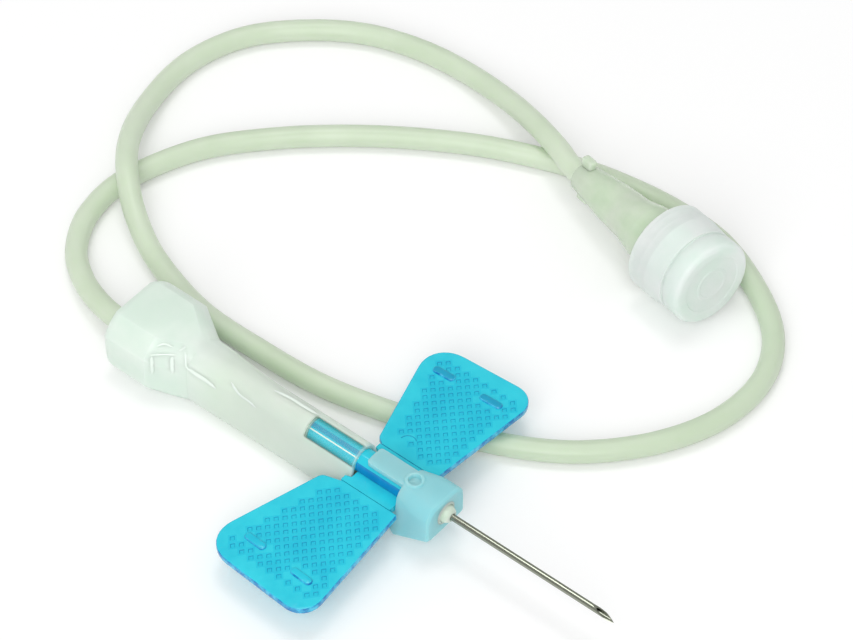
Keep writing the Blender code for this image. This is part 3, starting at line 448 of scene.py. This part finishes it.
def makeCap():
    c = cap
    end = c["rimAt"] + c["length"]
    floorAt = end - c["endWall"]
    disc = end - c["disc"]
    recess = end - c["recessDepth"]
    groove = c["endRadius"] - c["grooveDepth"]
    ringIn = c["ringRadius"] - c["ringWidth"] / 2
    ringOut = c["ringRadius"] + c["ringWidth"] / 2
    bm = turnedForm([
        (c["rimAt"], c["rimRadius"] - c["wall"]), (c["rimAt"], c["rimRadius"] - c["edge"] / 2),
        (c["rimAt"] + c["edge"] / 2, c["rimRadius"]),
        *[(c["rimAt"] + at + step, c["rimRadius"] - c["lineSunk"] + rise) for at in c["lineAt"]
          for step, rise in ((-c["lineHalf"], 0), (0, c["lineRise"] - c["lineSunk"]),
                             (c["lineHalf"], 0))],
        (disc - c["grooveWidth"], c["endRadius"]), (disc - c["grooveWidth"], groove),
        (disc, groove), (disc, c["endRadius"]),
        *[(end - c["endCorner"] * (1 - math.sin(math.radians(turn))),
           c["endRadius"] - c["endCorner"] * (1 - math.cos(math.radians(turn))))
          for turn in range(0, 91, 15)],
        (end, c["recessRadius"]), (recess, c["recessRadius"] - c["recessDepth"]),
        (recess, ringOut), (recess + c["ringRise"], ringOut - c["ringSlope"]),
        (recess + c["ringRise"], ringIn + c["ringSlope"]), (recess, ringIn), (recess, 0.0),
        (floorAt - c["plugLength"], 0.0), (floorAt - c["plugLength"], c["plugTip"]),
        (floorAt, c["plugBase"]), (floorAt, c["endRadius"] - c["wall"])],
        steps=96, rounding=c["rounding"])
    # the thread inside the skirt, which shows faintly through the wall
    wallAt = c["rimRadius"] - c["wall"]
    threadAt = c["rimAt"] + c["threadFrom"]
    tooth = [bm.verts.new((x * mm, 0, r * mm)) for x, r in
             ((threadAt, wallAt + c["threadSunk"]),
              (threadAt + c["threadHalf"], wallAt - c["threadHeight"]),
              (threadAt + 2 * c["threadHalf"], wallAt + c["threadSunk"]))]
    advance = c["threadPitch"] * c["threadTurns"] / c["threadSteps"]
    bmesh.ops.spin(bm, geom=[bm.faces.new(tooth)], cent=(0, 0, 0), axis=(1, 0, 0),
                   angle=2 * math.pi * c["threadTurns"], steps=c["threadSteps"], use_merge=False,
                   dvec=(advance * mm, 0, 0))
    bmesh.ops.recalc_face_normals(bm, faces=bm.faces)
    return finishPiece("luerCap", bm, [cappingPolythene], "cap", ["luer_cap"],
                       place=luerPlace)


luerConnector = makeConnector()
luerCap = makeCap()
print("connector and cap made")

shield = {
    "edgeRounding": 0.15, "edgeAngle": 21, "smoothTo": 45,
    "tongueEnd": 1.0, "tongueHalf": 1.05, "tongueRound": 0.84, "tongueOver": 5.75,
    "squareness": 0.4,
    "sunk": 0.03, "swellRows": 9, "swellSteps": 8, "swellEnd": 0.3,
    # polished corners, drawn as painted highlight lines, as (half width, how far it stands out,
    # points), all in mm
    "corners": (
        (0.10, 0.03, ((-22.7, -3.85, 5.98), (-21.68, -2.97, 6.05), (-20.75, -2.28, 6.05))),
        (0.20, 0.03, ((-22.5, -3.8, 5.9), (-22.32, -4.0, 5.06), (-22.33, -4.05, 3.9))),
        (0.20, 0.03, ((-21.0, -2.6, 5.95), (-20.77, -2.95, 5.23), (-20.66, -3.02, 4.3))),
        (0.12, 0.02, ((-22.5, -2.95, 6.58), (-22.07, -2.4, 6.77), (-21.35, -2.08, 6.55))),
        (0.12, 0.03, ((-20.3, -1.6, 6.2), (-19.9, -1.98, 5.73), (-19.63, -2.27, 5.09),
                      (-18.9, -2.24, 5.0))),
        (0.12, 0.02, ((-20.75, -1.9, 6.29), (-20.5, -1.25, 6.5))),
        (0.22, 0.03, ((-19.49, -2.21, 5.03), (-18.47, -2.21, 4.95), (-17.29, -2.17, 4.87),
                      (-16.16, -2.1, 4.59))),
        (0.14, 0.03, ((-14.9, -1.38, 5.75), (-13.7, -1.64, 5.19), (-12.51, -1.63, 5.02),
                      (-11.71, -1.64, 4.81))),
        (0.20, 0.03, ((-10.9, 0.1, 6.24), (-9.5, 0.35, 6.2), (-7.66, 0.42, 6.19),
                      (-6.0, 0.5, 6.15))),
    ),
}


def makeShield():
    s = shield
    bm = copiedNode("shield_housing")
    # the tongue's round end becomes square with small corners
    for vert in bm.verts:
        x, y, z = vert.co / mm
        back = (s["tongueEnd"] + s["tongueRound"] - x) / s["tongueRound"]
        out = (abs(y) - s["tongueHalf"] + s["tongueRound"]) / s["tongueRound"]
        if 0 < back < 1.01 and 0 < out < 1.01 and z > s["tongueOver"]:
            fromEnd, fromSide = [s["tongueRound"] * (1 - min(share, 1) ** s["squareness"])
                                 for share in (back, out)]
            vert.co.x = (s["tongueEnd"] + fromEnd) * mm
            vert.co.y = math.copysign(s["tongueHalf"] - fromSide, y) * mm
    sharp = [e for e in bm.edges if len(e.link_faces) == 2
             and e.calc_face_angle(0) > math.radians(s["edgeAngle"])]
    bmesh.ops.bevel(bm, geom=sharp, offset=s["edgeRounding"] * mm, segments=2, profile=0.5,
                    affect="EDGES", material=-1, clamp_overlap=True)
    outside = BVHTree.FromBMesh(bm)
    finishPiece("shieldHousing", bm, [frostedShield], "shield",
                ["shield_housing"], smoothTo=s["smoothTo"])
    return outside


# a slim low swell that follows the shield's outside along a route, narrow at both ends
def addSwell(bm, outside, half, proud, route):
    s = shield
    rows = s["swellRows"]
    turns = [math.pi * step / s["swellSteps"] for step in range(s["swellSteps"] + 1)]
    rises = [(proud + s["sunk"]) * math.sin(turn) - s["sunk"] for turn in turns]
    even = smoothRoute([Vector(p) * mm for p in route], rows)[0]
    found = [outside.find_nearest(spot)[:2] for spot in even]
    loops = []
    for number, (near, _) in enumerate(found):
        # the mean of its neighbours' normals, so that the swell bends softly over an edge
        normal = sum((n for p, n in found[max(number - 2, 0):number + 3]), Vector()).normalized()
        ahead = even[min(number + 1, rows - 1)] - even[max(number - 1, 0)]
        width = half * (s["swellEnd"] if number in (0, rows - 1) else 1.0)
        across = ahead.cross(normal).normalized() * width
        loops.append([bm.verts.new(near + (across * math.cos(turn) + normal * rise) * mm)
                      for turn, rise in zip(turns, rises)])
    for a, b in zip(loops, loops[1:]):
        for i, vert in enumerate(a):
            bm.faces.new((a[i - 1], vert, b[i], b[i - 1]))
    for end in (loops[0], loops[-1]):
        bm.faces.new(end)


# white swells along the shield's corners: painted highlights
def makeShieldGlints(outside):
    bm = bmesh.new()
    for half, proud, route in shield["corners"]:
        addSwell(bm, outside, half, proud, route)
    bmesh.ops.recalc_face_normals(bm, faces=bm.faces)
    finishPiece("shieldGlintLines", bm, [glintWhite], "shield", smoothTo=60)


makeShieldGlints(makeShield())
print("shield made")

wing = {
    "hingeY": 2.77, "top": 4.2, "droop": 2.3, "thickness": 0.7, "rootY": 0.03, "rootFront": 5.95,
    "rootRear": -0.5, "shoulderX": -1.8, "shoulderY": 0.58, "tipFront": 7.0, "tipRear": -5.7,
    "reach": 13.83, "slant": 0.8, "skew": 0.57, "frontCorner": 2.2, "rearCorner": 2.8,
    "shoulderCorner": 0.7, "rim": 0.12,
    "knurlX": 1.09, "knurlY": 1.17, "knurlAt": (0.5, 7.0), "knurlLines": 24, "wholeCell": 0.98,
    "ridge": 0.255, "recessSlope": 0.07, "recessDepth": 0.07,
    "plainRoot": 0.8, "plainFront": 0.7, "plainTip": 1.5, "plainRear": 1.6,
    "ribLength": 2.4, "ribWidth": 0.8, "ribRise": 0.20, "ribTurn": 3.0, "ribEnd": 0.47,
    "ribTop": 0.8, "ribClearX": 1.45, "ribClearY": 0.65,
    "pinX": 1.25, "pinY": 1.70, "pinRadius": 0.80, "pinLine": 0.05, "pinFrom": 50, "pinSweep": 130,
    "pinClear": 0.25,
    # the tube between the wings; the slit's painted shade and its edge's painted highlight are
    # given in degrees round it
    "veiledTo": -0.2, "tubeSide": 1.25, "tubeHeight": 4.6, "tubeRadius": 1.2, "slitShade": (8, 30),
    "slitGlint": (37, 43), "flangeFrom": 2.5, "flangeGrows": 0.11, "litAbove": 0.62,
}
# where the ribs stand, by side: +1 is the left wing
ribPlaces = {1: ((-1.6, 10.35), (3.85, 10.48)), -1: ((-2.0, 10.08), (3.75, 10.48))}
wingLooks = [wingBlue, edgeGlintShadeBlue, shadeBlue, knurlBlue]
tubeLooks = [wingBlue, tubeShadeBlue, shadeBlue, glintWhite]


# faces with their edges and corners, as an operator takes them
def wholeParts(faces):
    return (faces + list(dict.fromkeys(e for f in faces for e in f.edges))
            + list(dict.fromkeys(v for f in faces for v in f.verts)))


def makeWingBody():
    w = wing
    bm = copiedNode("wing_body")
    for x in (w["veiledTo"], w["rootFront"]):
        bmesh.ops.bisect_plane(bm, geom=wholeParts(bm.faces[:]), dist=1e-7,
                               plane_co=Vector((x, 0, 0)) * mm, plane_no=(1, 0, 0))
    # the slit along the tube, inside the sleeve: a band of painted shade and, over it, the slit's
    # edge as a line of painted highlight; the tube itself is not cut
    middle = Vector((0, 0, w["tubeHeight"])) * mm
    for turn in w["slitShade"] + w["slitGlint"]:
        tail = [f for f in bm.faces if f.calc_center_median().x < w["veiledTo"] * mm]
        across = Matrix.Rotation(math.radians(turn), 3, "X") @ Vector((0, 1, 0))
        bmesh.ops.bisect_plane(bm, geom=wholeParts(tail), dist=1e-7, plane_co=middle,
                               plane_no=across)
    for face in bm.faces:
        spot = face.calc_center_median() - middle
        if spot.x > w["veiledTo"] * mm:
            onTube = abs(spot.y) < w["tubeSide"] * mm
            # sides of the tube that turn down, away from the light above, take the deepest blue as
            # painted shade
            look = tubeShadeBlue if onTube and face.normal.z < w["litAbove"] else wingBlue
            face.material_index = tubeLooks.index(look)
            continue
        turn = math.degrees(math.atan2(-spot.y, spot.z))
        onOutside = math.hypot(spot.y, spot.z) > 0.9 * w["tubeRadius"] * mm
        for look, (start, finish) in ((shadeBlue, w["slitShade"]), (glintWhite, w["slitGlint"])):
            if onOutside and start < turn < finish:
                face.material_index = tubeLooks.index(look)
    for vert in bm.verts:
        if abs(vert.co.y) > w["flangeFrom"] * mm:
            vert.co.y += math.copysign(w["flangeGrows"] * mm, vert.co.y)
    return finishPiece("wingTube", bm, tubeLooks, "shield", ["wing_body"])


# a rounded bar that stands on the wing
def addRib(bm, x, y, side, lookOnTop):
    w = wing
    rib = bmesh.ops.create_cube(bm, size=1.0)["verts"]
    bmesh.ops.scale(bm, verts=rib,
                    vec=(w["ribLength"] * mm, w["ribWidth"] * mm, 2 * w["ribRise"] * mm))
    upright = [e for e in {e for v in rib for e in v.link_edges}
               if abs(e.verts[0].co.z - e.verts[1].co.z) > w["ribRise"] * mm]
    ends = bmesh.ops.bevel(bm, geom=upright, offset=w["ribWidth"] * w["ribEnd"] * mm, segments=6,
                           profile=0.5, affect="EDGES", material=-1)
    around = {g for f in ends["faces"] for e in f.edges for g in e.link_faces}
    whole = list({v for f in around for v in f.verts})
    lid = [e for e in {e for v in whole for e in v.link_edges}
           if min(v.co.z for v in e.verts) > w["ribRise"] * 0.9 * mm]
    bmesh.ops.rotate(bm, verts=whole, cent=(0, 0, 0),
                     matrix=Matrix.Rotation(math.radians(side * w["ribTurn"]), 3, "Z"))
    bmesh.ops.translate(bm, verts=whole, vec=(x * mm, side * y * mm, 0))
    rounded = bmesh.ops.bevel(bm, geom=lid, offset=w["ribRise"] * w["ribTop"] * mm, segments=3,
                              profile=0.5, affect="EDGES", material=-1)["verts"]
    # the rib's sides take the deep edge blue as painted shade, a dark outline round its top
    for face in {f for v in rounded + whole if v.is_valid for f in v.link_faces}:
        face.material_index = wingLooks.index(edgeGlintShadeBlue if face.normal.z < 0.8 else lookOnTop)


def makeWing(node, name, side):
    w = wing
    skew = side * w["skew"]
    corners = [(w["rootFront"], w["rootY"], 0), (w["tipFront"], w["reach"], w["frontCorner"]),
               (w["tipRear"] + skew, w["reach"] - w["slant"], w["rearCorner"]),
               (w["shoulderX"] + skew, w["shoulderY"], w["shoulderCorner"]),
               (w["rootRear"], w["rootY"], 0)]
    flat = [Vector((x, side * y, 0)) * mm for x, y, r in corners]
    bm = bmesh.new()
    points = [bm.verts.new(p) for p in flat]
    bm.faces.new(points)
    for point, (x, y, radius) in zip(points, corners):
        if radius:
            a, b = [e.other_vert(point).co - point.co for e in point.link_edges]
            bmesh.ops.bevel(bm, geom=[point], offset=radius * mm / math.tan(a.angle(b) / 2),
                            segments=10, profile=0.5, affect="VERTICES", material=-1)
    lower = bmesh.ops.extrude_face_region(bm, geom=bm.faces[:])["geom"]
    bmesh.ops.translate(bm, verts=[g for g in lower if isinstance(g, bmesh.types.BMVert)],
                        vec=(0, 0, -w["thickness"] * mm))
    bmesh.ops.recalc_face_normals(bm, faces=bm.faces)
    rim = [e for e in bm.edges if e.calc_face_angle(0) > 1.0
           and max(v.co.y * side for v in e.verts) > 0.3 * mm
           and abs(e.verts[0].co.z - e.verts[1].co.z) < 1e-7]
    bmesh.ops.bevel(bm, geom=rim, offset=w["rim"] * mm, segments=3, profile=0.5, affect="EDGES",
                    material=-1)
    for face in bm.faces:
        # the rims take the deep edge blue, with painted glints of the knurl in its pale flecks
        face.material_index = wingLooks.index(edgeGlintShadeBlue if abs(face.normal.z) < 0.95 else wingBlue)
    # the knurl: two sets of lines that cross as diamonds, then each diamond sinks
    apart = w["knurlX"] * w["knurlY"] / math.hypot(w["knurlX"], w["knurlY"])
    knurlAt = Vector((w["knurlAt"][0], side * w["knurlAt"][1], 0)) * mm
    for lean in (1, -1):
        across = Vector((w["knurlY"], lean * w["knurlX"], 0)).normalized()
        for count in range(-w["knurlLines"], w["knurlLines"] + 1):
            broad = [f for f in bm.faces if abs(f.normal.z) > 0.99]
            bmesh.ops.bisect_plane(bm, geom=wholeParts(broad), dist=1e-7, plane_no=across,
                                   plane_co=knurlAt + across * count * apart * mm)
    plain = (w["plainFront"], w["plainTip"], w["plainRear"], w["plainRoot"], w["plainRoot"])

    # is a spot farther from each straight edge of the wing than that edge's plain margin
    def clearOfEdges(spot):
        for a, b, margin in zip(flat, flat[1:] + flat[:1], plain):
            run = (b - a).normalized()
            if abs(run.x * (spot.y - a.y) - run.y * (spot.x - a.x)) < margin * mm:
                return False
        return True

    def clearOfRibs(spot):
        return all(abs(spot.x - x * mm) > w["ribClearX"] * mm
                   or abs(spot.y - side * y * mm) > w["ribClearY"] * mm for x, y in ribPlaces[side])

    def clearOfPin(spot):
        away = (spot - Vector((w["pinX"], side * w["pinY"], 0)) * mm).length / mm
        return side == -1 or abs(away - w["pinRadius"]) > w["pinClear"]

    cells = [f for f in bm.faces if abs(f.normal.z) > 0.99
             and f.material_index == wingLooks.index(wingBlue)
             and f.calc_area() > w["wholeCell"] * apart ** 2 * mm * mm
             and clearOfPin(f.calc_center_median()) and clearOfEdges(f.calc_center_median())
             and clearOfRibs(f.calc_center_median())]
    lands = bmesh.ops.inset_individual(bm, faces=cells, thickness=w["ridge"] * mm, depth=0)["faces"]
    slopes = bmesh.ops.inset_individual(bm, faces=cells, thickness=w["recessSlope"] * mm,
                                        depth=-w["recessDepth"] * mm)["faces"]
    for face in cells + lands:
        face.material_index = wingLooks.index(knurlBlue)
    # the recesses' steep slopes: painted shade, in the darker blue
    for face in slopes:
        face.material_index = wingLooks.index(shadeBlue)
    for x, y in ribPlaces[side]:
        # the left wing's rib tops take the darker blue as painted shade
        addRib(bm, x, y, side, shadeBlue if side == 1 else knurlBlue)
    if side == 1:  # the faint round mark that an ejector pin left
        before = set(bm.faces)
        middle = Vector((w["pinX"], w["pinY"], 0)) * mm
        ring = bmesh.ops.create_circle(bm, segments=8, radius=w["pinLine"] * mm)["verts"]
        ringEdges = list({e for v in ring for e in v.link_edges})
        bmesh.ops.rotate(bm, verts=ring, cent=(0, 0, 0),
                         matrix=Matrix.Rotation(math.pi / 2, 3, "X"))
        bmesh.ops.translate(bm, verts=ring, vec=middle + Vector((w["pinRadius"], 0, 0)) * mm)
        bmesh.ops.rotate(bm, verts=ring, cent=middle,
                         matrix=Matrix.Rotation(math.radians(w["pinFrom"]), 3, "Z"))
        bmesh.ops.spin(bm, geom=ring + ringEdges, cent=middle, axis=(0, 0, 1),
                       angle=math.radians(w["pinSweep"]), steps=20, use_merge=False)
        bmesh.ops.holes_fill(bm, edges=[e for e in bm.edges if e.is_boundary])
        bmesh.ops.recalc_face_normals(bm, faces=bm.faces)
        # the pin mark's line: painted shade, in the darker blue
        for face in set(bm.faces) - before:
            face.material_index = wingLooks.index(shadeBlue)
    place = (Matrix.Translation(Vector((0, side * w["hingeY"], w["top"])) * mm)
             @ Matrix.Rotation(math.radians(-side * w["droop"]), 4, "X"))
    print(name, len(cells), "knurl cells")
    return finishPiece(name, bm, wingLooks, node, [node], smoothTo=30, place=place)


makeWingBody()
makeWing("left_wing", "leftWing", 1)
makeWing("right_wing", "rightWing", -1)
print("wings made")

needle = {"radius": 0.32, "bore": 0.20, "tail": -6.9, "tip": 28.4, "height": 4.6, "bevel": 15.0,
          "lancet": 22.0, "lancetTurn": 38.0}
needleAxis = Matrix.Translation(Vector((0, 0, needle["height"])) * mm)


def makeNeedle():
    n = needle
    bm = turnedForm([(n["tail"], n["bore"]), (n["tail"], n["radius"]), (n["tip"], n["radius"]),
                     (n["tip"], n["bore"])], steps=48)
    # the long grind, then two short ones that sharpen the point
    cuts = [(n["bevel"], 0.0), (n["lancet"], n["lancetTurn"]), (n["lancet"], -n["lancetTurn"])]
    for angle, turn in cuts:
        normal = (Matrix.Rotation(math.radians(turn), 3, "X")
                  @ Matrix.Rotation(math.radians(angle), 3, "Y") @ Vector((0, 0, 1)))
        spot = Vector((n["tip"], 0, -n["radius"])) * mm
        cut = bmesh.ops.bisect_plane(bm, geom=bm.verts[:] + bm.edges[:] + bm.faces[:], dist=1e-8,
                                     plane_co=spot, plane_no=normal, clear_outer=True)
        rim = [g for g in cut["geom_cut"] if isinstance(g, bmesh.types.BMEdge)]
        if turn:
            bmesh.ops.holes_fill(bm, edges=rim)
        else:
            bmesh.ops.bridge_loops(bm, edges=rim)
    bmesh.ops.recalc_face_normals(bm, faces=bm.faces)
    return finishPiece("cannulaTube", bm, [drawnSteel], "needle_line", ["cannula"],
                       smoothTo=25, place=needleAxis)


makeNeedle()
nodes["needle_hub"].data.materials.clear()
nodes["needle_hub"].data.materials.append(hubNatural)
bead = {"from": 9.15, "bore": 0.37, "shoulder": 0.93, "length": 1.0, "tip": 0.42}
quarterTurn = [math.pi / 2 * step / 8 for step in range(9)]


def makeBead():
    b = bead
    outline = [(b["from"], b["bore"])]
    outline += [(b["from"] + b["length"] * math.sin(turn),
                 b["tip"] + (b["shoulder"] - b["tip"]) * math.cos(turn)) for turn in quarterTurn]
    outline.append((b["from"] + b["length"], b["bore"]))
    return finishPiece("glueBead", turnedForm(outline, steps=48), [glueCream], "needle_line",
                       ["adhesive_bead"], place=needleAxis)


makeBead()
noseCollar = {"face": 9.36, "hole": 0.95, "foot": 1.50, "top": 1.00, "rise": 0.18, "inside": 0.8}


# the nose swells softly round its hole
def makeNoseCollar():
    n = noseCollar
    outline = [(n["face"], n["hole"]), (n["face"] + n["rise"] * n["inside"], n["hole"])]
    outline += [(n["face"] + n["rise"] * (1 - math.sin(turn)),
                 n["foot"] - (n["foot"] - n["top"]) * math.cos(turn)) for turn in quarterTurn]
    return finishPiece("noseCollar", turnedForm(outline, steps=48), [glueCream], "shield",
                       place=needleAxis)


makeNoseCollar()
print("needle made")

stageLook = {"tableColour": "#F4F4F4", "tableGlow": 0.12, "grainScale": 900.0,
             "tableRough": (0.75, 0.9), "skyStrength": 0.70, "size": 6.0}


# 1 for rays of any of these kinds, 0 for all others
def anyRay(owner, kinds):
    ray = addNode(owner, "ShaderNodeLightPath")
    found = ray.outputs[kinds[0]]
    for kind in kinds[1:]:
        found = addNode(owner, "ShaderNodeMath", {"operation": "MAXIMUM"},
                        links={0: found, 1: ray.outputs[kind]}).outputs[0]
    return found


# a matt table that glows faintly where it is looked at, so that it reads as white paper
def makeTable():
    material = emptyMaterial("matt white table")
    place = addNode(material, "ShaderNodeTexCoord")
    grain = addNode(material, "ShaderNodeTexNoise",
                    values={"Scale": stageLook["grainScale"], "Detail": 2.0},
                    links={"Vector": place.outputs["Object"]})
    low, high = stageLook["tableRough"]
    rough = addNode(material, "ShaderNodeMapRange",
                    values={"To Min": low, "To Max": high}, links={"Value": grain.outputs["Fac"]})
    shader = addNode(material, "ShaderNodeBsdfPrincipled",
                     values={"Base Color": linearColour(stageLook["tableColour"]),
                             "Specular IOR Level": 0.1}, links={"Roughness": rough.outputs[0]})
    seen = anyRay(material, ("Is Camera Ray", "Is Glossy Ray", "Is Transmission Ray"))
    level = addNode(material, "ShaderNodeMath", {"operation": "MULTIPLY"},
                    {1: stageLook["tableGlow"]}, {0: seen})
    glow = addNode(material, "ShaderNodeEmission", links={"Strength": level.outputs[0]})
    both = addNode(material, "ShaderNodeAddShader",
                   links={0: shader.outputs[0], 1: glow.outputs[0]})
    addNode(material, "ShaderNodeOutputMaterial", links={"Surface": both.outputs[0]})
    bm = bmesh.new()
    bmesh.ops.create_grid(bm, x_segments=2, y_segments=2, size=stageLook["size"] / 2)
    mesh = bpy.data.meshes.new("table")
    bm.to_mesh(mesh)
    bm.free()
    mesh.materials.append(material)
    table = bpy.data.objects.new("table", mesh)
    bpy.context.scene.collection.objects.link(table)


makeTable()

world = bpy.data.worlds.new("studio")
bpy.context.scene.world = world
world.use_nodes = True
world.node_tree.nodes.clear()
skyLevel = addNode(world, "ShaderNodeMapRange",
                   values={"To Min": stageLook["skyStrength"], "To Max": 1.0},
                   links={"Value": anyRay(world, ("Is Camera Ray", "Is Transmission Ray"))})
sky = addNode(world, "ShaderNodeBackground", links={"Strength": skyLevel.outputs[0]})
addNode(world, "ShaderNodeOutputWorld", links={"Surface": sky.outputs[0]})

lampsAim = Vector((0, 0.02, 0))
lamps = {
    "keySoftbox": {"from": (-0.10, 0.14, 0.80), "size": 0.26, "watts": 1.0},
    "frontSoftbox": {"from": (0.24, -0.46, 0.48), "size": 0.5, "watts": 2.35},
    "smallSoftbox": {"from": (-0.33, -0.02, 0.75), "size": 0.07, "watts": 0.2},
}
for name, lamp in lamps.items():
    light = bpy.data.lights.new(name, "AREA")
    light.shape = "SQUARE"
    light.size = lamp["size"]
    light.energy = lamp["watts"]
    holder = bpy.data.objects.new(name, light)
    holder.location = lamp["from"]
    holder.rotation_mode = "QUATERNION"
    holder.rotation_quaternion = (lampsAim - Vector(lamp["from"])).to_track_quat("-Z", "Y")
    bpy.context.scene.collection.objects.link(holder)
bpy.context.scene.view_settings.view_transform = "Standard"
print("table and light made")
